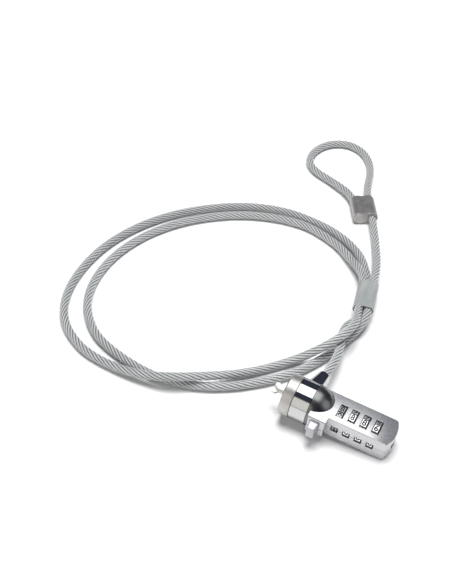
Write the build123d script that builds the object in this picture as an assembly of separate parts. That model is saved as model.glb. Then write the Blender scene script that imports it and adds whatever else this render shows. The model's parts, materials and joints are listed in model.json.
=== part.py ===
from build123d import *
import math
import os

# Laptop cable lock: a four-dial combination head with scissor hooks for a 3 x 7 mm security slot, a swivel
# ring that carries the cable's socket, and a sheathed wire rope that is wound once, tied and ends in an eye.
# Millimetres. The head is drawn in its own frame: X from the hooks to the tail, Y away from the button, Z up
# through the dial windows, with X = 0 where the nose meets the swivel ring. lay_down() then tips it on to
# z = 0, where it rests on the ring's rear edge and on its tail. The origin is under the middle of the head.

# Cable
CABLE_D = 4.5
CABLE_R = CABLE_D / 2
CABLE_FIT = 0.03  # radial clearance round the cable in its sleeve, socket and ferrule
FILM = 0.4  # thickness of the shrunk sleeve that ties the three strands

# Clearances and extents
FIT = 0.02  # radial clearance of pressed and bonded parts
RUNNING = 0.05  # radial clearance of turning parts, and of the shells round the dome
SPAN = 60  # more than the head measures in any direction

# Swivel ring, nose and dome
RING_R = 9.4
RING_FRONT = 0.3
RING_REAR = 7.6
NOSE_FRONT = -4.8
NOSE_PLATE = 1.1
NOSE_EDGE = 0.8
SLOT_HALF_Y = 3.4
SLOT_HALF_Z = 1.9
JOURNAL_R = 6.4
JOURNAL_FRONT = -3.6
JOURNAL_BORE = 4.6
WASHER_R = 9.0
DOME_X = 7.8
DOME_LENGTH = 10.4
DOME_R = 9.3
DOME_END = 17.0

# Shells, split at Z = 0
HALF_WIDTH = 7.3
HALF_HEIGHT = 5.3
TAIL_X = 45.0
TAIL_CORNER_X = 43.2
FAR_CORNER_R = 2.0
NEAR_CORNER_R = 0.8
SHELL_EDGE = 0.3
EAR_FRONT = 9.0
EAR_REAR = 16.9
EAR_Y = -10.8
EAR_TOP = 5.3
EAR_BOTTOM = -4.2
EAR_EDGE = 0.9

# Space for the mechanism inside dome and shells
CAVITY_FRONT = 7.0
CAVITY_HALF_Y = 5.0
CAVITY_HALF_Z = 4.0
WELL_FRONT = 9.7
WELL_REAR = 15.6
WELL_BELOW = 0.9  # room for the button's flange under it

# Button and its two wedge prongs; pressing it by BUTTON_TRAVEL draws the cam slide forward by the slope
BUTTON_X = 12.5
BUTTON_Z = 0.5
BUTTON_WIDE = 4.2
BUTTON_TALL = 6.4
BUTTON_TIP_WIDE = 3.3
BUTTON_TIP_TALL = 5.6
BUTTON_TIP_Y = -15.0
BUTTON_INNER_Y = -6.8
BUTTON_CORNER = 0.6
BUTTON_EDGE = 0.5
BUTTON_TRAVEL = 3.0
BUTTON_GAP = 0.1
CAM_SLOPE = 0.6
CAM_X = 13.5  # where the wedge line meets Y = 0
CAM_GAP = 0.06
CAM_TRAVEL = CAM_SLOPE * BUTTON_TRAVEL
PRONG_INNER_Z = 1.5
PRONG_OUTER_Z = 2.9
PRONG_REAR = 15.4
PRONG_TIP_Y = 1.0
FLANGE_FRONT = 9.9
FLANGE_Y = -8.3
FLANGE_THICK = 1.0
FLANGE_BELOW = 0.7

# Scissor hooks
PIVOT_X = 2.0
PIVOT_R = 0.75
PIVOT_HALF_LENGTH = 5.9
HOOK_GAP = 0.05
HOOK_THICK = 1.35
HOOK_TAIL = 9.3  # from the pivot
HOOK_TAIL_HALF = 1.3
HOOK_HEEL = (6.0, 2.4)
HOOK_BOSS_R = 1.9
HOOK_NECK = 1.9
HOOK_EDGE = 0.25
HOOK_SWING = 7.6  # degrees that each hook turns while the button is pressed
UPPER_LOBE = (-9.35, 1.15)
UPPER_LOBE_R = 1.4
UPPER_NECK_Y = 0.2
LOWER_LOBE = (-9.95, 1.1)
LOWER_LOBE_R = 1.45
LOWER_NECK_Y = 0.1
DRIVE_X = 9.8
DRIVE_R = 0.6
DRIVE_SLOT_R = 0.75
ARM_INNER_Z = 1.7
ARM_FRONT = 6.8
ARM_NEAR_Y = -2.0
ARM_FAR_Y = 2.5
BRIDGE_FRONT = 13.4
BRIDGE_REAR = 15.4
BRIDGE_NEAR_Y = -2.9
BRIDGE_HALF_Z = 1.3

# Dials, sleeves and spindle, on one axis at Y = DIAL_Y
DIALS = 4
DIAL_X = 20.6
DIAL_PITCH = 5.33
DIAL_Y = -1.0
DIAL_FLAT = 5.8  # from the axis to a facet
DIAL_TURNS = (-8, 10, 10, 10)  # degrees from a facet straight up toward the button's side, as they rest
DIAL_FACETS = 10
DIAL_WIDE = 2.9
DIAL_BORE = 3.65
DIAL_EDGE = 0.2
WINDOW_WIDE = 3.3
WINDOW_R = 6.4
SIDE_WINDOW_HALF_Z = 1.5
SLEEVE_R = 3.6
SLEEVE_HALF = 2.2
SLEEVE_BORE = 2.8
SLEEVE_SEAT_R = 3.68
LAND_HALF = 0.35
LAND_BORE = 1.35
LAND_NOTCH = 75.0
FIN_R = 2.6
FIN_ANGLE = 60.0
FIN_START = 0.55
FIN_THICK = 0.7
SPINDLE_R = 1.2
SPINDLE_NECK = 0.8
COLLAR_X = 41.9
COLLAR_R = 2.2
COLLAR_THICK = 0.6
SPRING_WALL = 39.4
SPRING_ROOM_R = 2.6
SPRING_ROOM_END = 42.9
SPRING_MEAN_R = 1.75
SPRING_WIRE_R = 0.1
SPRING_TURNS = 3
COMB_Y = 5.5
COMB_THICK = 0.3
COMB_HALF_Z = 3.0
COMB_OVERHANG = 2.4  # past the middle of the end dials
COMB_GAP = 1.0
COMB_SPINE = 1.2

# Tail: reset screw in its bush, and the two screws that hold the shells together
RESET_R = 2.1
RESET_FRONT = 43.1
RESET_REAR = 44.9
RESET_SLOT = 0.7
RESET_SLOT_DEEP = 0.6
BUSH_R = 3.1
BUSH_FRONT = 42.95
BUSH_REAR = 44.2
SCREW_PLACES = [(17.97, 4.4), (41.5, 4.4)]
SCREW_R = 0.7
SCREW_HEAD_R = 1.1
SCREW_HEAD_TALL = 0.6
SCREW_TOP = 2.0
SCREW_CROSS = 0.7
SCREW_CROSS_HALF = 0.15
SCREW_CROSS_DEEP = 0.3

# Cable socket on the swivel ring
SOCKET_X = 4.6
SOCKET_Y = 9.0
SOCKET_LENGTH = 8.3
SOCKET_LEAN = 7.4  # degrees toward the tail
SOCKET_BASE_R = 4.05
SOCKET_TIP_R = 2.85
SOCKET_SPIGOT_R = 2.5
SOCKET_SPIGOT_Y = 7.2
CABLE_END_Y = 11.0
SOCKET_EDGE = 0.4

# How the head lies: tipped so that the ring's rear edge and the tail's end both meet z = 0
TILT = math.degrees(math.atan2(RING_R - HALF_HEIGHT, TAIL_X - RING_REAR))
HEAD_X = -16.9
HEAD_Y = -1.5
HEAD_Z = RING_R * math.cos(math.radians(TILT)) + RING_REAR * math.sin(math.radians(TILT))

# Ferrule that closes the eye: the strand to the eye runs through it and the cable's end stops in it
FERRULE_CENTRE = (-41.2, 140.5, 3.75)
FERRULE_ALONG = (-0.487, 0.874, 0)
FERRULE_LENGTH = 15.8
FERRULE_LOBE_R = 3.75
FERRULE_LOBE_X = 2.75
FERRULE_WAIST = 6.6
FERRULE_EDGE = 0.6
FERRULE_BORE_X = 3.45
FERRULE_BLIND = 1.8

# Sleeve shrunk over the three strands
WRAP_START = (-12.5, 65.3)
WRAP_ALONG = (-0.219, 0.976, 0)
WRAP_LENGTH = 18.4
WRAP_LOW_Z = 2.65
WRAP_HIGH_Z = 6.55
WRAP_SPREAD = 2.3

# The cable's route, from the socket round the two turns of the winding and the eye to the ferrule
ROUTE = [
    (-12.07, 9.5, 9.64), (-10.52, 21.5, 9.47), (-11.7, 35.9, 7.2), (-16.7, 50.2, 6.9), (-12.2, 63.9, 2.3),
    (-14.6, 76.6, 2.6), (-19.8, 91.8, 2.3), (-28.4, 105.5, 2.4), (-40.9, 114.5, 2.3), (-55.9, 120, 2.3),
    (-79.9, 122.5, 2.3), (-106.9, 113.5, 2.3), (-134.9, 89, 2.3), (-149.9, 56.5, 2.3),
    (-149.9, 22.5, 2.3), (-139.4, -0.5, 2.3), (-120.4, -13.5, 2.3), (-100.9, -16.5, 2.3),
    (-84.9, -16.5, 4.7), (-70.9, -14, 8), (-58.4, -5.3, 6.4), (-43.9, 8.5, 2.3), (-28.9, 25, 2.3),
    (-15.7, 33.7, 11.3), (-10, 47.8, 12.5), (-13.8, 61.8, 7.4), (-17.5, 77.6, 6.1), (-21.3, 89, 7),
    (-30.4, 98.5, 3.5), (-44.4, 110, 2.3), (-68.4, 117.5, 2.3), (-101.4, 108.5, 2.3), (-128.9, 84, 2.3),
    (-141.9, 52, 2.3), (-138.9, 19.5, 2.3), (-121.9, -1.5, 2.3), (-102.4, -9.5, 2.3), (-78.4, -13.6, 2.3),
    (-53.4, -7.2, 2.3), (-29.9, 11.5, 2.3), (-17.8, 31.4, 2.3), (-13.2, 47.5, 2.3), (-9.7, 55.7, 5.1),
    (-9.4, 63.6, 6.3), (-13.2, 78.5, 7), (-18.2, 100.1, 4.6), (-25.4, 117.5, 2.9), (-33.6, 133.9, 3.8),
    (-42.1, 149.2, 3.75), (-46.9, 160, 3.6), (-49.4, 171.5, 2.8), (-53.4, 182.5, 2.3), (-61.4, 192, 2.3),
    (-72.9, 195.5, 2.3), (-83.9, 189, 2.3), (-87.9, 174.5, 2.3), (-81.4, 163, 2.3), (-64.9, 156.8, 2.6),
    (-49.3, 148, 3.8), (-41.25, 133.6, 3.75),
]


def block(x0, x1, y0, y1, z0, z1):
    return Pos((x0 + x1) / 2, (y0 + y1) / 2, (z0 + z1) / 2) * Box(x1 - x0, y1 - y0, z1 - z0)


def rod(radius, x0, x1, y=0.0, z=0.0):
    """Cylinder along X."""
    return Pos((x0 + x1) / 2, y, z) * Rot(0, 90, 0) * Cylinder(radius, x1 - x0)


def post(radius, z0, z1, x=0.0, y=0.0):
    """Cylinder along Z."""
    return Pos(x, y, (z0 + z1) / 2) * Cylinder(radius, z1 - z0)


def plate(points, z0, z1):
    """Flat piece with straight sides, seen from above."""
    return Pos(0, 0, z0) * extrude(make_face(Polyline(*points, close=True)), z1 - z0)


def lay_down(piece):
    return Pos(HEAD_X, HEAD_Y, HEAD_Z) * Rot(0, TILT, 0) * piece


def dial_centres():
    return [DIAL_X + DIAL_PITCH * i for i in range(DIALS)]


def fan(angle, x0, x1):
    """Wedge that opens from the dials' axis toward -Y."""
    reach = 2 * SLEEVE_R
    half = reach * math.tan(math.radians(angle / 2))
    face = Plane.YZ * make_face(Polyline((0, 0), (-reach, -half), (-reach, half), close=True))
    return Pos(x0, DIAL_Y, 0) * extrude(face, x1 - x0)


def dome(grow=0.0):
    """Half an ellipsoid of revolution behind the swivel ring, cut off flat inside the shells."""
    length = DOME_LENGTH + grow
    radius = DOME_R + grow
    quarter = Ellipse(length, radius) & Pos(length / 2, radius / 2) * Rectangle(length, radius)
    whole = revolve(Pos(DOME_X - grow, 0) * quarter, Axis.X, 360)
    return whole & block(0, DOME_END + grow, -SPAN, SPAN, -SPAN, SPAN)


def mechanism_space(rear, well_rear):
    """Room for the cam slide and the hooks' tails, and the well that the button runs in."""
    inner = block(CAVITY_FRONT, rear, -CAVITY_HALF_Y, CAVITY_HALF_Y, -CAVITY_HALF_Z, CAVITY_HALF_Z)
    well_low = BUTTON_Z - BUTTON_TALL / 2 - WELL_BELOW
    well = block(WELL_FRONT, well_rear, -DOME_R - 1, -CAVITY_HALF_Y, well_low, CAVITY_HALF_Z)
    return inner + well


def head_core():
    journal = rod(JOURNAL_R, JOURNAL_FRONT, DOME_X)
    core = journal + dome() - rod(JOURNAL_BORE, JOURNAL_FRONT - 1, CAVITY_FRONT)
    core -= mechanism_space(DOME_END + 0.5, DOME_END + 0.5)
    return core - post(PIVOT_R + FIT, -JOURNAL_R - 1, JOURNAL_R + 1, PIVOT_X)


def nose_ring():
    ring = rod(RING_R, NOSE_FRONT, 0)
    ring = fillet(ring.edges().filter_by(GeomType.CIRCLE).sort_by(Axis.X)[0], NOSE_EDGE)
    ring -= rod(JOURNAL_R + FIT, NOSE_FRONT + NOSE_PLATE, 1)
    return ring - block(NOSE_FRONT - 1, 0, -SLOT_HALF_Y, SLOT_HALF_Y, -SLOT_HALF_Z, SLOT_HALF_Z)


def swivel_ring():
    ring = rod(RING_R, RING_FRONT, RING_REAR) - rod(JOURNAL_R + RUNNING, 0, DOME_X)
    spigot_depth = SOCKET_Y - SOCKET_SPIGOT_Y + 2 * RUNNING
    return ring - socket_axis() * Cylinder(SOCKET_SPIGOT_R + FIT, 2 * spigot_depth)


def thrust_washer():
    return rod(WASHER_R, RING_REAR + FIT, DOME_X - FIT) - rod(JOURNAL_R + RUNNING, 0, DOME_X)


def socket_axis():
    lean = math.radians(SOCKET_LEAN)
    along = (math.sin(lean), math.cos(lean), 0)
    return Plane(origin=(SOCKET_X, SOCKET_Y, 0), x_dir=(0, 0, 1), z_dir=along).location


def cable_socket():
    lean = math.cos(math.radians(SOCKET_LEAN))
    cone = Pos(0, 0, SOCKET_LENGTH / 2) * Cone(SOCKET_BASE_R, SOCKET_TIP_R, SOCKET_LENGTH)
    cone = fillet(cone.edges().sort_by(Axis.Z)[-1], SOCKET_EDGE)
    spigot_length = SOCKET_Y - SOCKET_SPIGOT_Y + 1
    spigot = Pos(0, 0, 1 - spigot_length / 2) * Cylinder(SOCKET_SPIGOT_R, spigot_length)
    depth = (CABLE_END_Y - SOCKET_Y) / lean
    bore = Pos(0, 0, depth + SOCKET_LENGTH / 2) * Cylinder(CABLE_R + CABLE_FIT, SOCKET_LENGTH)
    saddle = rod(RING_R + FIT, -2, RING_REAR) + rod(RING_R + RUNNING, RING_REAR, DOME_END)
    return (socket_axis() * cone - saddle) + socket_axis() * spigot - socket_axis() * bore


def comb_blank(first, last, grow=0.0):
    """The detent comb before its fingers are parted, or with grow the slot that it sits in."""
    front = first - COMB_OVERHANG - 2 * grow
    rear = last + COMB_OVERHANG + 2 * grow
    half = COMB_HALF_Z + grow
    return block(front, rear, COMB_Y - grow, COMB_Y + COMB_THICK + grow, -half, half)


def shell_blank():
    """Both shells as one closed block, with the button's ear."""
    sides = Polyline(
        (TAIL_CORNER_X, HALF_WIDTH),
        (DOME_X, HALF_WIDTH),
        (DOME_X, -HALF_WIDTH),
        (TAIL_CORNER_X, -HALF_WIDTH),
    )
    tail = ThreePointArc((TAIL_CORNER_X, -HALF_WIDTH), (TAIL_X, 0), (TAIL_CORNER_X, HALF_WIDTH))
    body = Pos(0, 0, -HALF_HEIGHT) * extrude(make_face(sides + tail), 2 * HALF_HEIGHT)
    corners = body.edges().filter_by(Axis.Z).group_by(Axis.X)[-1].sort_by(Axis.Y)
    body = fillet(corners[-1], FAR_CORNER_R)
    corners = body.edges().filter_by(Axis.Z).group_by(Axis.Y)[0].sort_by(Axis.X)
    body = fillet(corners[-1], NEAR_CORNER_R)
    rims = body.faces().sort_by(Axis.Z)[-1].edges() + body.faces().sort_by(Axis.Z)[0].edges()
    body = chamfer(rims, SHELL_EDGE)
    ear = block(EAR_FRONT, EAR_REAR, EAR_Y, -HALF_WIDTH + 1, EAR_BOTTOM, EAR_TOP)
    ear = fillet(ear.faces().sort_by(Axis.Y)[0].edges(), EAR_EDGE)
    return body + ear


def shell_cuts():
    """Everything that the two shells leave room for."""
    cut = dome(RUNNING) + mechanism_space(DOME_END + RUNNING, WELL_REAR)
    wide = BUTTON_WIDE + 2 * BUTTON_GAP
    tall = BUTTON_TALL + 2 * BUTTON_GAP
    button_hole = Pos(BUTTON_X, (EAR_Y - CAVITY_HALF_Y) / 2, BUTTON_Z)
    cut += button_hole * Box(wide, CAVITY_HALF_Y - EAR_Y, tall)
    for x in dial_centres():
        front = x - WINDOW_WIDE / 2
        rear = x + WINDOW_WIDE / 2
        cut += rod(WINDOW_R, front, rear, DIAL_Y)
        cut += block(front, rear, -HALF_WIDTH - 1, DIAL_Y, -SIDE_WINDOW_HALF_Z, SIDE_WINDOW_HALF_Z)
    last = dial_centres()[-1]
    cut += rod(SLEEVE_SEAT_R, DIAL_X - SLEEVE_HALF - 0.1, last + SLEEVE_HALF + 0.1, DIAL_Y)
    cut += rod(SPINDLE_R + 0.1, DOME_END, SPRING_WALL + 1, DIAL_Y)
    cut += rod(SPRING_ROOM_R, SPRING_WALL, SPRING_ROOM_END + 0.1, DIAL_Y)
    cut += rod(BUSH_R + FIT, BUSH_FRONT - FIT, BUSH_REAR + FIT, DIAL_Y)
    cut += rod(RESET_R + RUNNING, BUSH_REAR, TAIL_X + 1, DIAL_Y)
    cut += comb_blank(DIAL_X, last, RUNNING)
    for x, y in SCREW_PLACES:
        cut += post(SCREW_R + FIT, -HALF_HEIGHT - 1, SCREW_TOP + RUNNING, x, y)
        cut += post(SCREW_HEAD_R + FIT, -HALF_HEIGHT - 1, SCREW_HEAD_TALL - HALF_HEIGHT + FIT, x, y)
    return cut


def shells():
    housing = shell_blank() - shell_cuts()
    top = housing & block(0, SPAN, -SPAN, SPAN, 0, SPAN)
    bottom = housing & block(0, SPAN, -SPAN, SPAN, -SPAN, 0)
    return top, bottom


def button_section(y, wide, tall):
    plane = Plane(origin=(BUTTON_X, y, BUTTON_Z), x_dir=(1, 0, 0), z_dir=(0, -1, 0))
    return plane * RectangleRounded(wide, tall, BUTTON_CORNER)


def button():
    root = button_section(EAR_Y, BUTTON_WIDE, BUTTON_TALL)
    tip = button_section(BUTTON_TIP_Y, BUTTON_TIP_WIDE, BUTTON_TIP_TALL)
    cap = loft([root, tip])
    cap = fillet(cap.faces().sort_by(Axis.Y)[0].edges(), BUTTON_EDGE)
    body = cap + extrude(root, EAR_Y - BUTTON_INNER_Y)
    low = BUTTON_Z - BUTTON_TALL / 2 - FLANGE_BELOW
    high = CAVITY_HALF_Z - BUTTON_GAP
    body += block(FLANGE_FRONT, PRONG_REAR, FLANGE_Y, FLANGE_Y + FLANGE_THICK, low, high)
    front = BUTTON_X - BUTTON_WIDE / 2
    outline = [
        (front, BUTTON_INNER_Y - 0.5),
        (PRONG_REAR, BUTTON_INNER_Y - 0.5),
        (PRONG_REAR, PRONG_TIP_Y),
        (CAM_X + CAM_SLOPE * PRONG_TIP_Y, PRONG_TIP_Y),
        (front, (front - CAM_X) / CAM_SLOPE),
    ]
    body += plate(outline, PRONG_INNER_Z, PRONG_OUTER_Z)
    return body + plate(outline, -PRONG_OUTER_Z, -PRONG_INNER_Z)


def wedge_line(y):
    """X of the cam slide's slanted rear face at this Y."""
    return CAM_X + CAM_SLOPE * y - CAM_GAP


def cam_slide():
    arm = [
        (ARM_FRONT, ARM_NEAR_Y),
        (wedge_line(ARM_NEAR_Y), ARM_NEAR_Y),
        (wedge_line(ARM_FAR_Y), ARM_FAR_Y),
        (ARM_FRONT, ARM_FAR_Y),
    ]
    web_y = (BRIDGE_FRONT + CAM_GAP - CAM_X) / CAM_SLOPE
    web = [(BRIDGE_FRONT, web_y), (wedge_line(ARM_FAR_Y), ARM_FAR_Y), (BRIDGE_FRONT, ARM_FAR_Y)]
    slide = plate(arm, ARM_INNER_Z, PRONG_OUTER_Z) + plate(arm, -PRONG_OUTER_Z, -ARM_INNER_Z)
    slide += plate(web, -PRONG_OUTER_Z, PRONG_OUTER_Z)
    slide += block(BRIDGE_FRONT, BRIDGE_REAR, BRIDGE_NEAR_Y, ARM_FAR_Y, -BRIDGE_HALF_Z, BRIDGE_HALF_Z)
    slide -= rod(SPINDLE_NECK + FIT, BRIDGE_FRONT - 1, BRIDGE_REAR + 1, DIAL_Y)
    return slide - post(DRIVE_R + FIT, -PRONG_OUTER_Z - 1, PRONG_OUTER_Z + 1, DRIVE_X)


def drive_pin():
    return post(DRIVE_R, -PRONG_OUTER_Z + 0.1, PRONG_OUTER_Z - 0.1, DRIVE_X)


def hook(lobe_place, lobe_r, neck_y):
    """One scissor blade, lobe toward +Y, drawn flat at Z = 0 and thickened upward."""
    boss = Pos(PIVOT_X, 0) * Circle(HOOK_BOSS_R)
    arm_length = PIVOT_X - lobe_place[0]
    arm = Pos(PIVOT_X - arm_length / 2, neck_y) * Rectangle(arm_length, HOOK_NECK)
    lobe = Pos(*lobe_place) * Circle(lobe_r)
    tail_outline = [
        (0, -HOOK_BOSS_R),
        (HOOK_TAIL, -HOOK_TAIL_HALF),
        (HOOK_TAIL, HOOK_TAIL_HALF),
        HOOK_HEEL,
        (0, HOOK_BOSS_R),
    ]
    tail = Pos(PIVOT_X, 0) * make_face(Polyline(*tail_outline, close=True))
    swing = math.radians(HOOK_SWING)
    pressed = DRIVE_X - CAM_TRAVEL - PIVOT_X
    start = Vector(DRIVE_X, 0)
    end = Vector(PIVOT_X + pressed * math.cos(swing), pressed * math.sin(swing))
    middle = (start + end) * 0.5
    slot_angle = math.degrees(math.atan2(end.Y - start.Y, end.X - start.X))
    slot = SlotCenterToCenter((end - start).length, 2 * DRIVE_SLOT_R)
    slot = Pos(middle.X, middle.Y) * Rot(0, 0, slot_angle) * slot
    blade = boss + arm + lobe + tail - slot - Pos(PIVOT_X, 0) * Circle(PIVOT_R + RUNNING)
    solid = extrude(blade, HOOK_THICK)
    rim = [e for e in solid.faces().sort_by(Axis.Z)[-1].edges() if e.center().X < NOSE_FRONT - 1]
    return Pos(0, 0, HOOK_GAP) * chamfer(rim, HOOK_EDGE)


def hook_upper():
    return hook(UPPER_LOBE, UPPER_LOBE_R, UPPER_NECK_Y)


def hook_lower():
    return Rot(180, 0, 0) * hook(LOWER_LOBE, LOWER_LOBE_R, LOWER_NECK_Y)


def hook_pin():
    return post(PIVOT_R, -PIVOT_HALF_LENGTH, PIVOT_HALF_LENGTH, PIVOT_X)


def spindle():
    neck = rod(SPINDLE_NECK, BRIDGE_FRONT + 0.2, BRIDGE_REAR + 0.1, DIAL_Y)
    core = neck + rod(SPINDLE_R, BRIDGE_REAR + 0.05, COLLAR_X + 0.1, DIAL_Y)
    core += rod(COLLAR_R, COLLAR_X, COLLAR_X + COLLAR_THICK, DIAL_Y)
    for x in dial_centres():
        start = x + FIN_START
        core += rod(FIN_R, start, start + FIN_THICK, DIAL_Y) & fan(FIN_ANGLE, start, start + FIN_THICK)
    return core


def spindle_spring():
    length = COLLAR_X - SPRING_WALL - 2 * SPRING_WIRE_R - 0.1
    coil = Helix(length / SPRING_TURNS, length, SPRING_MEAN_R)
    section = Plane(origin=coil @ 0, z_dir=coil % 0) * Circle(SPRING_WIRE_R)
    spring = sweep(section, path=coil)
    return Pos(SPRING_WALL + SPRING_WIRE_R + 0.05, DIAL_Y, 0) * Rot(0, 90, 0) * spring


def detent_comb():
    """Leaf with one finger behind each dial."""
    comb = comb_blank(DIAL_X, dial_centres()[-1])
    for x in dial_centres()[:-1]:
        front = x + (DIAL_PITCH - COMB_GAP) / 2
        low = COMB_SPINE - COMB_HALF_Z
        comb -= block(front, front + COMB_GAP, COMB_Y - 1, COMB_Y + 1, low, COMB_HALF_Z + 1)
    return comb


def dial(x, turn):
    outline = Plane.YZ * Rot(0, 0, turn) * RegularPolygon(DIAL_FLAT, DIAL_FACETS, major_radius=False)
    wheel = Pos(x - DIAL_WIDE / 2, DIAL_Y, 0) * extrude(outline, DIAL_WIDE)
    ends = [e for e in wheel.edges() if abs(e.center().X - x) > DIAL_WIDE / 2 - 0.01]
    wheel = chamfer(ends, DIAL_EDGE)
    return wheel - rod(DIAL_BORE, x - DIAL_WIDE, x + DIAL_WIDE, DIAL_Y)


def sleeve(x):
    """Tube that turns with its dial; the notch in its middle land lets one spindle fin through."""
    tube = rod(SLEEVE_R, x - SLEEVE_HALF, x + SLEEVE_HALF, DIAL_Y)
    tube -= rod(SLEEVE_BORE, x - DIAL_WIDE, x + DIAL_WIDE, DIAL_Y)
    land = rod(SLEEVE_BORE + 0.1, x - LAND_HALF, x + LAND_HALF, DIAL_Y)
    land -= rod(LAND_BORE, x - 1, x + 1, DIAL_Y)
    notch = rod(SLEEVE_BORE, x - 1, x + 1, DIAL_Y) & fan(LAND_NOTCH, x - 1, x + 1)
    return tube + (land - notch)


def reset_screw():
    screw = rod(RESET_R, RESET_FRONT, RESET_REAR, DIAL_Y)
    near = DIAL_Y - RESET_SLOT / 2
    return screw - block(RESET_REAR - RESET_SLOT_DEEP, TAIL_X, near, near + RESET_SLOT, -RESET_R, RESET_R)


def tail_bush():
    return rod(BUSH_R, BUSH_FRONT, BUSH_REAR, DIAL_Y) - rod(RESET_R + RUNNING, COLLAR_X, TAIL_X, DIAL_Y)


def shell_screws():
    """The two equal screws, put in from below."""
    screws = []
    for x, y in SCREW_PLACES:
        head = post(SCREW_HEAD_R, -HALF_HEIGHT, SCREW_HEAD_TALL - HALF_HEIGHT, x, y)
        shank = post(SCREW_R, -HALF_HEIGHT, SCREW_TOP, x, y)
        bar = Box(2 * SCREW_CROSS, 2 * SCREW_CROSS_HALF, 2 * SCREW_CROSS_DEEP)
        cross = Pos(x, y, -HALF_HEIGHT) * (bar + Rot(0, 0, 90) * bar)
        screws.append(head + shank - cross)
    return Compound(children=screws)


def corner_radii(points):
    """For each corner, the largest arc that leaves a tenth of the shorter run straight."""
    radii = []
    for before, corner, after in zip(points, points[1:], points[2:]):
        run_in = Vector(*corner) - Vector(*before)
        run_out = Vector(*after) - Vector(*corner)
        half_turn = math.radians(run_in.get_angle(run_out) / 2)
        radii.append(0.45 * min(run_in.length, run_out.length) / math.tan(half_turn))
    return radii


def cable():
    radii = corner_radii(ROUTE)
    print("cable arc radii", [round(r, 1) for r in radii])
    path = FilletPolyline(*ROUTE, radius=radii)
    print("cable length", round(path.length, 1))
    return sweep(Plane(origin=path @ 0, z_dir=path % 0) * Circle(CABLE_R), path=path)


def wrap_section(radius):
    """Outline drawn tight round three circles, one below and two above."""
    centres = [(0, WRAP_LOW_Z), (-WRAP_SPREAD, WRAP_HIGH_Z), (WRAP_SPREAD, WRAP_HIGH_Z)]
    rounds = [(Pos(x, z) * Circle(radius)).edge() for x, z in centres]
    return make_hull(rounds)


def cable_wrap():
    plane = Plane(origin=(*WRAP_START, 0), x_dir=(-WRAP_ALONG[1], WRAP_ALONG[0], 0), z_dir=WRAP_ALONG)
    film = wrap_section(CABLE_R + FILM) - wrap_section(CABLE_R + CABLE_FIT)
    return extrude(plane * film, WRAP_LENGTH)


def ferrule():
    across = (FERRULE_ALONG[1], -FERRULE_ALONG[0], 0)
    plane = Plane(origin=FERRULE_CENTRE, x_dir=across, z_dir=FERRULE_ALONG)
    section = Rectangle(2 * FERRULE_LOBE_X, FERRULE_WAIST)
    section += Pos(FERRULE_LOBE_X, 0) * Circle(FERRULE_LOBE_R)
    section += Pos(-FERRULE_LOBE_X, 0) * Circle(FERRULE_LOBE_R)
    body = Pos(0, 0, -FERRULE_LENGTH / 2) * extrude(section, FERRULE_LENGTH)
    ends = body.faces().sort_by(Axis.Z)[0].edges() + body.faces().sort_by(Axis.Z)[-1].edges()
    body = chamfer(ends, FERRULE_EDGE)
    through = Pos(FERRULE_BORE_X, 0, 0) * Cylinder(CABLE_R + CABLE_FIT, FERRULE_LENGTH + 2)
    blind = Pos(-FERRULE_BORE_X, 0, FERRULE_BLIND) * Cylinder(CABLE_R + CABLE_FIT, FERRULE_LENGTH)
    return plane * (body - through - blind)


top_shell, bottom_shell = shells()
head = {
    "head_core": head_core(),
    "nose_ring": nose_ring(),
    "swivel_ring": swivel_ring(),
    "thrust_washer": thrust_washer(),
    "cable_socket": cable_socket(),
    "upper_shell": top_shell,
    "lower_shell": bottom_shell,
    "button": button(),
    "cam_slide": cam_slide(),
    "drive_pin": drive_pin(),
    "hook_upper": hook_upper(),
    "hook_lower": hook_lower(),
    "hook_pin": hook_pin(),
    "spindle": spindle(),
    "spindle_spring": spindle_spring(),
    "detent_comb": detent_comb(),
    "reset_screw": reset_screw(),
    "tail_bush": tail_bush(),
    "shell_screws": shell_screws(),
}
for number, (centre, turn) in enumerate(zip(dial_centres(), DIAL_TURNS), start=1):
    head[f"dial_{number}"] = dial(centre, turn)
    head[f"sleeve_{number}"] = sleeve(centre)
nodes = {name: lay_down(piece) for name, piece in head.items()}
nodes["cable"] = cable()
nodes["cable_wrap"] = cable_wrap()
nodes["ferrule"] = ferrule()

os.makedirs("parts", exist_ok=True)
for name, piece in nodes.items():
    export_step(piece, f"parts/{name}.step")
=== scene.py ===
# Laptop cable lock: cable, painted numbers, finishes, floor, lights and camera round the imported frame

import json
import math

import bpy
from mathutils import Matrix, Vector

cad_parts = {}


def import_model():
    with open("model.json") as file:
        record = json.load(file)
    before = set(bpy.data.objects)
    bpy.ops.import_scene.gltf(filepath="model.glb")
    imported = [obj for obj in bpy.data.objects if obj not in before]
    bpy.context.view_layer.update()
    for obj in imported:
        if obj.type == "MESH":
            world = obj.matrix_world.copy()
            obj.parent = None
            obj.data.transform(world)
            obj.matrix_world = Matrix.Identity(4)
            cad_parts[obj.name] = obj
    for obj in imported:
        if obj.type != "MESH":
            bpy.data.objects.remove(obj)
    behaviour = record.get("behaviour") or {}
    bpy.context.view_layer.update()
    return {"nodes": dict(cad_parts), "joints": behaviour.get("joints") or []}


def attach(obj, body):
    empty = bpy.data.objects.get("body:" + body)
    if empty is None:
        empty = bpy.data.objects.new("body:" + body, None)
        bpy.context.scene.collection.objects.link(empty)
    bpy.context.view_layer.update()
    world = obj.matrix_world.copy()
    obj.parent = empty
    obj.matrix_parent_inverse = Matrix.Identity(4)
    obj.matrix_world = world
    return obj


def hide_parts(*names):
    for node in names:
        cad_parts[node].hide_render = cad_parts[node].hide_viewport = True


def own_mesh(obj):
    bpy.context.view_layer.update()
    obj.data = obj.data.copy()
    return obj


MM = 0.001

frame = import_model()
nodes = frame["nodes"]
joints = {joint["name"]: joint for joint in frame["joints"]}

# ---------------------------------------------------------------- driving sizes, in metres

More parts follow.
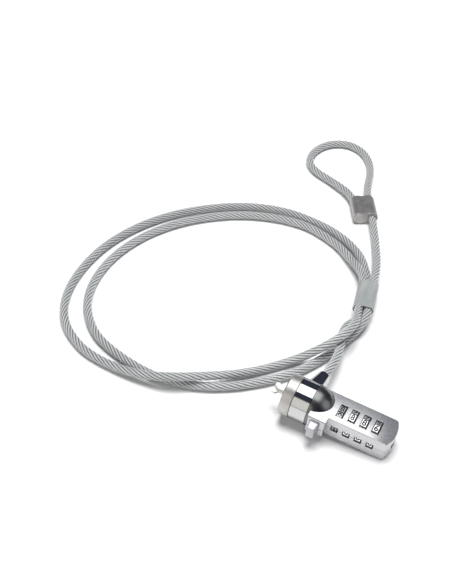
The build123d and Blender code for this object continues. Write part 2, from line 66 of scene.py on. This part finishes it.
CABLE_R = 2.25 * MM
ROPE_R = 2.02 * MM
ROPE_STRANDS = 8
ROPE_LAY = 24 * MM  # length in which a strand goes once round
ROPE_STEP = 0.8 * MM  # length of one ring of the rope's mesh
STRAND_TURNS = (-80, -45, 0, 45, 80)  # degrees round a strand at which its outline has a point

# The head's own frame, in millimetres, and the shells' walls in it, which bound the black painted shade
# inside the windows
HEAD_PLACE = (-16.9, -1.5, 10.172)
HEAD_TILT = math.radians(6.256)
SHELL_HALF_WIDTH = 7.15 * MM  # just inside the shells' outer faces
SHELL_HALF_HEIGHT = 5.15 * MM
SHELL_TAIL = 42.9 * MM
PARTING_HALF = 0.09 * MM

# Dials and their paint
DIALS = range(1, 5)
DIAL_FACETS = 10
DIAL_FLAT = 5.8 * MM  # from a dial's axis to its facets
DIAL_BORE = 3.7 * MM
DIAL_END = 1.45 * MM  # from a dial's middle to its end faces
DIAL_EDGE = 0.2 * MM
DIAL_TURNS = (-8, 10, 10, 10)  # degrees that the facets lean toward the button's side at rest
TOP_DIGITS = (8, 8, 8, 6)
DIGIT_SIZE = 3.7 * MM
DIGIT_BOLD = 0.1 * MM  # how much the digits' strokes are widened on each side
INK = 0.02 * MM  # how far the black marks stand off the dials
LABEL_NEAR = -1.3 * MM  # where the pale label starts and ends along a dial's axis
LABEL_FAR = 0.95 * MM
LABEL_GAP = 0.3 * MM  # black between a label and its facet's corner

CAMERA_PLACE = (85.17, -266.91, 335.40)  # millimetres
CAMERA_FORWARD = (-0.33367, 0.65081, -0.68199)
CAMERA_RIGHT = (0.88986, 0.45623, 0.0)
CAMERA_UP = (-0.31114, 0.60687, 0.73136)
CAMERA_LENS = 61.73  # millimetres, on a sensor 36 mm along the frame's longer side
SENSOR = 36

FLOOR_HALF = 3.0
ROOM_COLOR = (0.048, 0.057, 0.08, 1)
# Soft boxes: direction, angle of full light, angle where it ends, brightness
SOFT_BOXES = [
    ((-0.36, -0.84, 0.42), 24, 32, (1.0, 0.97, 0.9)),
    ((0.85, 0.1, 0.5), 12, 30, (0.9, 0.9, 0.9)),
]

# The cable's route from the socket to the ferrule, in millimetres: the winding's two turns, then the eye
ROUTE = [
    (-12.07, 9.5, 9.64), (-10.52, 21.5, 9.47), (-11.7, 35.9, 7.2), (-16.7, 50.2, 6.9), (-12.2, 63.9, 2.3),
    (-14.6, 76.6, 2.6), (-19.8, 91.8, 2.3), (-28.4, 105.5, 2.4), (-40.9, 114.5, 2.3), (-55.9, 120, 2.3),
    (-79.9, 122.5, 2.3), (-106.9, 113.5, 2.3), (-134.9, 89, 2.3), (-149.9, 56.5, 2.3),
    (-149.9, 22.5, 2.3), (-139.4, -0.5, 2.3), (-120.4, -13.5, 2.3), (-100.9, -16.5, 2.3),
    (-84.9, -16.5, 4.7), (-70.9, -14, 8), (-58.4, -5.3, 6.4), (-43.9, 8.5, 2.3), (-28.9, 25, 2.3),
    (-15.7, 33.7, 11.3), (-10, 47.8, 12.5), (-13.8, 61.8, 7.4), (-17.5, 77.6, 6.1), (-21.3, 89, 7),
    (-30.4, 98.5, 3.5), (-44.4, 110, 2.3), (-68.4, 117.5, 2.3), (-101.4, 108.5, 2.3), (-128.9, 84, 2.3),
    (-141.9, 52, 2.3), (-138.9, 19.5, 2.3), (-121.9, -1.5, 2.3), (-102.4, -9.5, 2.3), (-78.4, -13.6, 2.3),
    (-53.4, -7.2, 2.3), (-29.9, 11.5, 2.3), (-17.8, 31.4, 2.3), (-13.2, 47.5, 2.3), (-9.7, 55.7, 5.1),
    (-9.4, 63.6, 6.3), (-13.2, 78.5, 7), (-18.2, 100.1, 4.6), (-25.4, 117.5, 2.9), (-33.6, 133.9, 3.8),
    (-42.1, 149.2, 3.75), (-46.9, 160, 3.6), (-49.4, 171.5, 2.8), (-53.4, 182.5, 2.3), (-61.4, 192, 2.3),
    (-72.9, 195.5, 2.3), (-83.9, 189, 2.3), (-87.9, 174.5, 2.3), (-81.4, 163, 2.3), (-64.9, 156.8, 2.6),
    (-49.3, 148, 3.8), (-41.25, 133.6, 3.75),
]


def added(name, data):
    """A new object in the scene with this data."""
    made = bpy.data.objects.new(name, data)
    bpy.context.scene.collection.objects.link(made)
    return made


# ---------------------------------------------------------------- materials

def material(name, color, metallic=0.0, roughness=0.4, alpha=1.0):
    """A Principled material with these plain values; returns it with its tree and shader node."""
    made = bpy.data.materials.new(name)
    made.use_nodes = True
    tree = made.node_tree
    shader = tree.nodes["Principled BSDF"]
    shader.inputs["Base Color"].default_value = (*color, 1)
    shader.inputs["Metallic"].default_value = metallic
    shader.inputs["Roughness"].default_value = roughness
    shader.inputs["Alpha"].default_value = alpha
    return made, tree, shader


def noise(tree, scale, stretch=(1, 1, 1), detail=4.0):
    """Noise in the object's own coordinates, stretched along an axis where a finish has a grain."""
    coords = tree.nodes.new("ShaderNodeTexCoord")
    mapping = tree.nodes.new("ShaderNodeMapping")
    mapping.inputs["Scale"].default_value = stretch
    texture = tree.nodes.new("ShaderNodeTexNoise")
    texture.inputs["Scale"].default_value = scale
    texture.inputs["Detail"].default_value = detail
    tree.links.new(coords.outputs["Object"], mapping.inputs["Vector"])
    tree.links.new(mapping.outputs["Vector"], texture.inputs["Vector"])
    return texture


def color_between(tree, value, low, high, start, end):
    """The low color where the value is at most start, the high one from end on, and a mix between."""
    ramp = tree.nodes.new("ShaderNodeValToRGB")
    first, last = ramp.color_ramp.elements
    first.position = start
    first.color = (*low, 1)
    last.position = end
    last.color = (*high, 1)
    tree.links.new(value, ramp.inputs["Fac"])
    return ramp.outputs["Color"]


def vary_color(tree, shader, texture, low, high):
    color = color_between(tree, texture.outputs["Fac"], low, high, 0.35, 0.65)
    tree.links.new(color, shader.inputs["Base Color"])


def vary_roughness(tree, shader, texture, low, high):
    spread = tree.nodes.new("ShaderNodeMapRange")
    spread.inputs["To Min"].default_value = low
    spread.inputs["To Max"].default_value = high
    tree.links.new(texture.outputs["Fac"], spread.inputs["Value"])
    tree.links.new(spread.outputs["Result"], shader.inputs["Roughness"])


def roughen(tree, shader, texture, depth):
    """Fine unevenness of the surface, too small to model."""
    bump = tree.nodes.new("ShaderNodeBump")
    bump.inputs["Distance"].default_value = depth
    bump.inputs["Strength"].default_value = 0.5
    tree.links.new(texture.outputs["Fac"], bump.inputs["Height"])
    tree.links.new(bump.outputs["Normal"], shader.inputs["Normal"])


def chrome(name, shade, roughness):
    """Plated and polished metal of this grey, a little hazier in places."""
    made, tree, shader = material(name, (shade, shade, shade), metallic=1.0, roughness=roughness)
    vary_roughness(tree, shader, noise(tree, 90), 0.7 * roughness, 1.3 * roughness)
    return made


def satin_metal(name, dark, light, roughness, metallic=0.85):
    """Blasted and plated metal: an even, slightly mottled grey."""
    made, tree, shader = material(name, light, metallic=metallic, roughness=roughness)
    vary_color(tree, shader, noise(tree, 260), dark, light)
    roughen(tree, shader, noise(tree, 2600, detail=2.0), 0.02 * MM)
    return made


def head_coords(tree):
    """Place in the head's own frame, in metres, as separate X, Y and Z."""
    coords = tree.nodes.new("ShaderNodeTexCoord")
    mapping = tree.nodes.new("ShaderNodeMapping")
    mapping.vector_type = "TEXTURE"
    mapping.inputs["Location"].default_value = [value * MM for value in HEAD_PLACE]
    mapping.inputs["Rotation"].default_value = (0, HEAD_TILT, 0)
    parts = tree.nodes.new("ShaderNodeSeparateXYZ")
    tree.links.new(coords.outputs["Object"], mapping.inputs["Vector"])
    tree.links.new(mapping.outputs["Vector"], parts.inputs["Vector"])
    return parts


def near_zero(tree, value, limit):
    """1 where the value is between the limit below 0 and the limit above it, else 0."""
    test = tree.nodes.new("ShaderNodeMath")
    test.operation = "COMPARE"
    test.inputs[1].default_value = 0
    test.inputs[2].default_value = limit
    tree.links.new(value, test.inputs[0])
    return test.outputs["Value"]


def combined(tree, operation, first, second):
    result = tree.nodes.new("ShaderNodeMath")
    result.operation = operation
    tree.links.new(first, result.inputs[0])
    tree.links.new(second, result.inputs[1])
    return result.outputs["Value"]


def brushed_silver():
    """Silver lacquer over a fine lengthwise grain, with painted shade: black on the faces inside the
    windows; the parting line is dark too.
    """
    made, tree, shader = material("brushed_silver", (0.75, 0.75, 0.76), metallic=0.8, roughness=0.34)
    grain = noise(tree, 1800, stretch=(0.12, 1, 1), detail=3.0)
    lacquer = color_between(tree, grain.outputs["Fac"], (0.49, 0.49, 0.51), (0.57, 0.57, 0.58), 0.3, 0.7)
    place = head_coords(tree)
    # Painted shade: the shells' faces inside their outer faces, the windows' walls, are painted black
    # where shade falls.
    inside = near_zero(tree, place.outputs["Y"], SHELL_HALF_WIDTH)
    inside = combined(tree, "MULTIPLY", inside, near_zero(tree, place.outputs["Z"], SHELL_HALF_HEIGHT))
    inside = combined(tree, "MULTIPLY", inside, near_zero(tree, place.outputs["X"], SHELL_TAIL))
    dark = combined(tree, "MAXIMUM", inside, near_zero(tree, place.outputs["Z"], PARTING_HALF))
    # Black over the lacquer on the painted window shade and on the parting line.
    paint = tree.nodes.new("ShaderNodeMix")
    paint.data_type = "RGBA"
    paint.inputs["B"].default_value = (0.012, 0.012, 0.014, 1)
    tree.links.new(dark, paint.inputs["Factor"])
    tree.links.new(lacquer, paint.inputs["A"])
    tree.links.new(paint.outputs["Result"], shader.inputs["Base Color"])
    vary_roughness(tree, shader, noise(tree, 150), 0.17, 0.21)
    roughen(tree, shader, grain, 0.001 * MM)
    return made


def dial_plate():
    """Pale plated facets."""
    made, tree, shader = material("dial_plate", (0.86, 0.86, 0.85), metallic=0.7, roughness=0.28)
    vary_color(tree, shader, noise(tree, 200), (0.80, 0.80, 0.79), (0.88, 0.88, 0.87))
    return made


def rope_steel():
    """Galvanised wire with painted shade: dark in the grooves between the strands, the wire's own grey on
    their crests.
    """
    made, tree, shader = material("rope_steel", (0.5, 0.51, 0.51), metallic=0.3, roughness=0.35)
    # Painted shade: this attribute darkens the colour toward the grooves, with a little random unevenness
    # of tone.
    crest_light_input = tree.nodes.new("ShaderNodeAttribute")
    crest_light_input.attribute_name = "painted_crest_light"
    uneven = noise(tree, 500)
    mixed = tree.nodes.new("ShaderNodeMath")
    mixed.operation = "MULTIPLY_ADD"
    mixed.inputs[1].default_value = 0.25
    tree.links.new(uneven.outputs["Fac"], mixed.inputs[0])
    tree.links.new(crest_light_input.outputs["Fac"], mixed.inputs[2])
    color = color_between(
        tree, mixed.outputs["Value"], (0.10, 0.106, 0.112), (0.53, 0.54, 0.54), 0.25, 0.9,
    )
    tree.links.new(color, shader.inputs["Base Color"])
    return made


def clear_sheath():
    """The nearly clear plastic over the rope."""
    made, tree, shader = material("clear_sheath", (0.75, 0.76, 0.76), roughness=0.16, alpha=0.07)
    vary_roughness(tree, shader, noise(tree, 300), 0.10, 0.24)
    return made


def shrunk_film():
    """The cloudy shrunk plastic that ties the strands."""
    made, tree, shader = material("shrunk_film", (0.5, 0.52, 0.51), roughness=0.35, alpha=0.75)
    streaks = noise(tree, 160, stretch=(1, 0.4, 1))
    vary_color(tree, shader, streaks, (0.29, 0.305, 0.305), (0.40, 0.415, 0.41))
    roughen(tree, shader, noise(tree, 420), 0.15 * MM)
    return made


def plain(name, color, metallic=0.0, roughness=0.4):
    """One colour, slightly darker in places."""
    made, tree, shader = material(name, color, metallic=metallic, roughness=roughness)
    darker = tuple(0.85 * value for value in color)
    vary_color(tree, shader, noise(tree, 400), darker, color)
    return made


def dress(node, look):
    """Gives a CAD node this material."""
    data = nodes[node].data
    data.materials.clear()
    data.materials.append(look)


# ---------------------------------------------------------------- cable

def cable_curve():
    """The sheath: a round tube along the route's smooth line."""
    data = bpy.data.curves.new("cable_sheath", "CURVE")
    data.dimensions = "3D"
    spline = data.splines.new("NURBS")
    spline.points.add(len(ROUTE) - 1)
    for point, place in zip(spline.points, ROUTE):
        point.co = (*(value * MM for value in place), 1)
    spline.order_u = 3
    spline.use_endpoint_u = True
    spline.resolution_u = 10
    data.bevel_resolution = 6
    data.use_fill_caps = True
    return added("cable_sheath", data)


def centreline(curve):
    """Points of the curve's own line."""
    bare = curve.copy()
    bare.data = curve.data.copy()
    bare.data.bevel_depth = 0
    bpy.context.scene.collection.objects.link(bare)
    mesh = bpy.data.meshes.new_from_object(bare)
    line = [vertex.co.copy() for vertex in mesh.vertices]
    bpy.data.objects.remove(bare)
    bpy.data.meshes.remove(mesh)
    return line


def even_steps(line, step):
    """Points at equal distances along the line."""
    lengths = [0.0]
    for a, b in zip(line, line[1:]):
        lengths.append(lengths[-1] + (b - a).length)
    count = round(lengths[-1] / step)
    stops, index = [], 0
    for i in range(count + 1):
        at = min(lengths[-1] * i / count, lengths[-1] * 0.999999)
        while lengths[index + 1] < at:
            index += 1
        part = (at - lengths[index]) / (lengths[index + 1] - lengths[index])
        stops.append(line[index].lerp(line[index + 1], part))
    return stops


def strand_outline():
    """Outline of the rope across its axis, as (radius, angle): the outer half of each strand."""
    half = math.pi / ROPE_STRANDS
    centre = ROPE_R / (1 + math.sin(half))
    wire = centre * math.sin(half)
    outline = []
    for strand in range(ROPE_STRANDS):
        for turn in STRAND_TURNS:
            x = centre + wire * math.cos(math.radians(turn))
            y = wire * math.sin(math.radians(turn))
            outline.append((math.hypot(x, y), 2 * half * strand + math.atan2(y, x)))
    return outline


def rope(line):
    """Twisted wire rope that follows the line, with a right-hand lay."""
    stops = even_steps(line, ROPE_STEP)
    outline = strand_outline()
    verts, faces = [], []
    side = Vector((0, 0, 1))
    for i, place in enumerate(stops):
        ahead = stops[min(i + 1, len(stops) - 1)] - stops[max(i - 1, 0)]
        ahead.normalize()
        side = (side - ahead * side.dot(ahead)).normalized()
        across = ahead.cross(side)
        twist = 2 * math.pi * i * ROPE_STEP / ROPE_LAY
        for radius, angle in outline:
            turned = angle + twist
            outward = side * math.cos(turned) + across * math.sin(turned)
            verts.append(place + outward * radius)
    count = len(outline)
    for ring in range(len(stops) - 1):
        for k in range(count):
            a = ring * count + k
            b = ring * count + (k + 1) % count
            faces.append((a, b, b + count, a + count))
    faces.append(tuple(reversed(range(count))))
    faces.append(tuple(range((len(stops) - 1) * count, len(stops) * count)))
    data = bpy.data.meshes.new("cable_rope")
    data.from_pydata(verts, [], faces)
    # Lightness for the painted groove shade: 0 deepest between the strands, 1 on their crests.
    painted_crest_light = data.attributes.new("painted_crest_light", "FLOAT", "POINT")
    low = min(radius for radius, _ in outline)
    heights = [(radius - low) / (ROPE_R - low) for radius, _ in outline]
    painted_crest_light.data.foreach_set("value", heights * len(stops))
    return added("cable_rope", data)


sheath = cable_curve()
rope_piece = rope(centreline(sheath))
sheath.data.bevel_depth = CABLE_R
sheath.data.materials.append(clear_sheath())
rope_piece.data.materials.append(rope_steel())
for piece in (sheath, rope_piece):
    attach(piece, "cable_assembly")
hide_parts("cable")


# ---------------------------------------------------------------- numbers on the dials

def dial_middle(number):
    return Vector(joints[f"dial_{number}_turn"]["pos_m"])


def dial_frame(number, facet):
    """The directions along a dial's axis, up one of its facets and out of it."""
    along = Vector(joints[f"dial_{number}_turn"]["axis"]).normalized()
    far = Vector((0, 1, 0))
    up = along.cross(far)
    turn = 2 * math.pi * facet / DIAL_FACETS + math.radians(DIAL_TURNS[number - 1])
    outward = up * math.cos(turn) - far * math.sin(turn)
    upward = far * math.cos(turn) + up * math.sin(turn)
    return along, upward, outward


def digit(number, facet):
    """The points and faces of the digit on one facet."""
    data = bpy.data.curves.new("digit", "FONT")
    data.body = str((facet + TOP_DIGITS[number - 1]) % 10)
    data.size = DIGIT_SIZE
    data.align_x = "CENTER"
    data.align_y = "CENTER"
    data.extrude = INK
    data.offset = DIGIT_BOLD
    piece = added("digit", data)
    mesh = bpy.data.meshes.new_from_object(piece)
    bpy.data.objects.remove(piece)
    along, upward, outward = dial_frame(number, facet)
    place = Matrix((along, upward, outward)).transposed()
    label = dial_middle(number) + outward * DIAL_FLAT + along * ((LABEL_NEAR + LABEL_FAR) / 2)
    points = [label + place @ vertex.co for vertex in mesh.vertices]
    return points, [tuple(face.vertices) for face in mesh.polygons]


def bar(number, facet, near, far, low, high):
    """A rectangle on one facet, from near to far along the axis and from low to high up the facet."""
    along, upward, outward = dial_frame(number, facet)
    face = dial_middle(number) + outward * (DIAL_FLAT + INK)
    corners = ((near, low), (far, low), (far, high), (near, high))
    return [face + along * x + upward * y for x, y in corners], [(0, 1, 2, 3)]


def end_face(number, offset):
    """A flat ring round the axis, the offset away from the dial's middle."""
    corner = 1 / math.cos(math.pi / DIAL_FACETS)
    points = []
    for radius in (DIAL_BORE, DIAL_FLAT - DIAL_EDGE):
        for facet in range(DIAL_FACETS):
            along, _, outward = dial_frame(number, facet + 0.5)
            points.append(dial_middle(number) + along * offset + outward * (radius * corner))
    faces = []
    for facet in range(DIAL_FACETS):
        following = (facet + 1) % DIAL_FACETS
        faces.append((facet, following, following + DIAL_FACETS, facet + DIAL_FACETS))
    return points, faces


def dial_paint(number, look):
    """One dial's black: its ten digits, a black frame round each of them and the two end faces."""
    half = DIAL_FLAT * math.tan(math.pi / DIAL_FACETS)
    shapes = []
    for facet in range(DIAL_FACETS):
        shapes.append(digit(number, facet))
        # Black frame round the digit, along the facet's ends and edges.
        shapes.append(bar(number, facet, LABEL_FAR, DIAL_END, -half, half))
        shapes.append(bar(number, facet, -DIAL_END, LABEL_NEAR, -half, half))
        shapes.append(bar(number, facet, LABEL_NEAR, LABEL_FAR, half - LABEL_GAP, half))
        shapes.append(bar(number, facet, LABEL_NEAR, LABEL_FAR, -half, LABEL_GAP - half))
    for offset in (-DIAL_END - INK, DIAL_END + INK):
        shapes.append(end_face(number, offset))
    verts, faces = [], []
    for points, polygons in shapes:
        start = len(verts)
        verts.extend(points)
        faces.extend(tuple(start + index for index in polygon) for polygon in polygons)
    data = bpy.data.meshes.new(f"paint_{number}")
    data.from_pydata(verts, [], faces)
    data.materials.append(look)
    made = added(data.name, data)
    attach(made, f"dial_{number}")


dial_black = plain("dial_black", (0.01, 0.01, 0.012), roughness=0.75)
for number in DIALS:
    dial_paint(number, dial_black)


# ---------------------------------------------------------------- finishes of the CAD nodes

polished = chrome("chrome", 0.55, 0.06)
dome_chrome = chrome("black_chrome", 0.20, 0.30)
silver = brushed_silver()
nose_metal = satin_metal("nose_metal", (0.45, 0.44, 0.42), (0.56, 0.545, 0.52), 0.38)
hook_metal = satin_metal("hook_metal", (0.62, 0.61, 0.58), (0.74, 0.73, 0.70), 0.34, metallic=0.35)
button_metal = satin_metal("button_metal", (0.40, 0.40, 0.43), (0.48, 0.48, 0.51), 0.33, metallic=0.6)
ferrule_metal = satin_metal("ferrule_metal", (0.33, 0.315, 0.31), (0.42, 0.405, 0.40), 0.42, metallic=0.7)
steel = plain("ground_steel", (0.6, 0.6, 0.6), metallic=1.0, roughness=0.3)
dark_steel = plain("dark_steel", (0.16, 0.145, 0.13), metallic=0.8, roughness=0.4)
brass = plain("turned_brass", (0.75, 0.58, 0.28), metallic=1.0, roughness=0.3)
rubber = plain("black_washer", (0.03, 0.03, 0.03), roughness=0.6)
plated = dial_plate()

looks = {
    "head_core": dome_chrome, "swivel_ring": polished, "cable_socket": polished,
    "nose_ring": nose_metal, "thrust_washer": rubber,
    "upper_shell": silver, "lower_shell": silver, "button": button_metal,
    "hook_upper": hook_metal, "hook_lower": hook_metal, "ferrule": ferrule_metal,
    "hook_pin": steel, "cam_slide": steel, "drive_pin": steel, "spindle": steel,
    "spindle_spring": steel, "detent_comb": steel, "shell_screws": steel, "reset_screw": dark_steel,
    "tail_bush": brass, "cable_wrap": shrunk_film(),
}
for number in DIALS:
    looks[f"dial_{number}"] = plated
    looks[f"sleeve_{number}"] = brass
for node, look in looks.items():
    dress(node, look)


# ---------------------------------------------------------------- the spindle's spring

def shorten_spring():
    """Gives the spring a mesh of its own and sorts its points along the button's travel; the spring is
    not shortened.
    """
    spring = nodes["spindle_spring"]
    forward = Vector(joints["cam_travel"]["axis"]).normalized()
    points = [spring.matrix_world @ vertex.co for vertex in spring.data.vertices]
    points.sort(key=forward.dot)
    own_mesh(spring)


shorten_spring()


# ---------------------------------------------------------------- floor, light and camera

def floor():
    data = bpy.data.meshes.new("floor")
    signs = ((-1, -1), (1, -1), (1, 1), (-1, 1))
    data.from_pydata([(x * FLOOR_HALF, y * FLOOR_HALF, 0) for x, y in signs], [], [(0, 1, 2, 3)])
    made = added("floor", data)
    look, tree, shader = material("white_floor", (0.78, 0.78, 0.78), roughness=0.9)
    shader.inputs["Specular IOR Level"].default_value = 0.1
    data.materials.append(look)


def area_light(name, place, aim, size, power, in_gloss=True, in_diffuse=True):
    """A rectangular light that lights matt surfaces, is mirrored in shiny ones, or both."""
    data = bpy.data.lights.new(name, "AREA")
    data.shape = "RECTANGLE"
    data.size, data.size_y = size
    data.energy = power
    made = added(name, data)
    made.location = place
    made.rotation_euler = (Vector(aim) - Vector(place)).to_track_quat("-Z", "Y").to_euler()
    made.visible_camera = False
    made.visible_glossy = in_gloss
    made.visible_diffuse = in_diffuse


def camera():
    data = bpy.data.cameras.new("camera")
    data.lens = CAMERA_LENS
    data.sensor_width = SENSOR
    data.clip_start = 0.01
    made = added("camera", data)
    back = -Vector(CAMERA_FORWARD)
    turn = Matrix((CAMERA_RIGHT, CAMERA_UP, back)).transposed()
    made.matrix_world = Matrix.Translation(Vector(CAMERA_PLACE) * MM) @ turn.to_4x4()
    bpy.context.scene.camera = made


def glow(tree, direction, inner, outer, color):
    """Light from the sky round a direction: full within the inner angle, none past the outer one."""
    coords = tree.nodes.new("ShaderNodeTexCoord")
    toward = tree.nodes.new("ShaderNodeVectorMath")
    toward.operation = "DOT_PRODUCT"
    toward.inputs[1].default_value = Vector(direction).normalized()
    tree.links.new(coords.outputs["Generated"], toward.inputs[0])
    fade = tree.nodes.new("ShaderNodeMapRange")
    fade.interpolation_type = "SMOOTHSTEP"
    fade.inputs["From Min"].default_value = math.cos(math.radians(outer))
    fade.inputs["From Max"].default_value = math.cos(math.radians(inner))
    tree.links.new(toward.outputs["Value"], fade.inputs["Value"])
    tint = tree.nodes.new("ShaderNodeVectorMath")
    tint.operation = "SCALE"
    tint.inputs[0].default_value = color
    tree.links.new(fade.outputs["Result"], tint.inputs["Scale"])
    return tint.outputs["Vector"]


def world():
    """A dark room with soft boxes, told apart by direction."""
    made = bpy.data.worlds.new("studio")
    bpy.context.scene.world = made
    made.use_nodes = True
    tree = made.node_tree
    room = tree.nodes.new("ShaderNodeRGB")
    room.outputs["Color"].default_value = ROOM_COLOR
    total = room.outputs["Color"]
    for box in SOFT_BOXES:
        brighter = tree.nodes.new("ShaderNodeVectorMath")
        brighter.operation = "ADD"
        tree.links.new(total, brighter.inputs[0])
        tree.links.new(glow(tree, *box), brighter.inputs[1])
        total = brighter.outputs["Vector"]
    tree.links.new(total, tree.nodes["Background"].inputs["Color"])


floor()
world()
area_light("key", (-0.03, 0.2, 1.1), aim=(-0.05, 0.08, 0), size=(0.7, 0.6), power=19, in_gloss=False)
area_light("front_fill", (-0.5, -0.9, 0.7), aim=(0, 0, 0), size=(0.9, 0.6), power=2, in_gloss=False)
area_light(
    "tent", (-0.02, 0.016, 0.075), aim=(-0.02, 0.016, 0), size=(0.085, 0.064), power=0.046,
    in_diffuse=False,
)
camera()
bpy.context.scene.view_settings.view_transform = "Standard"
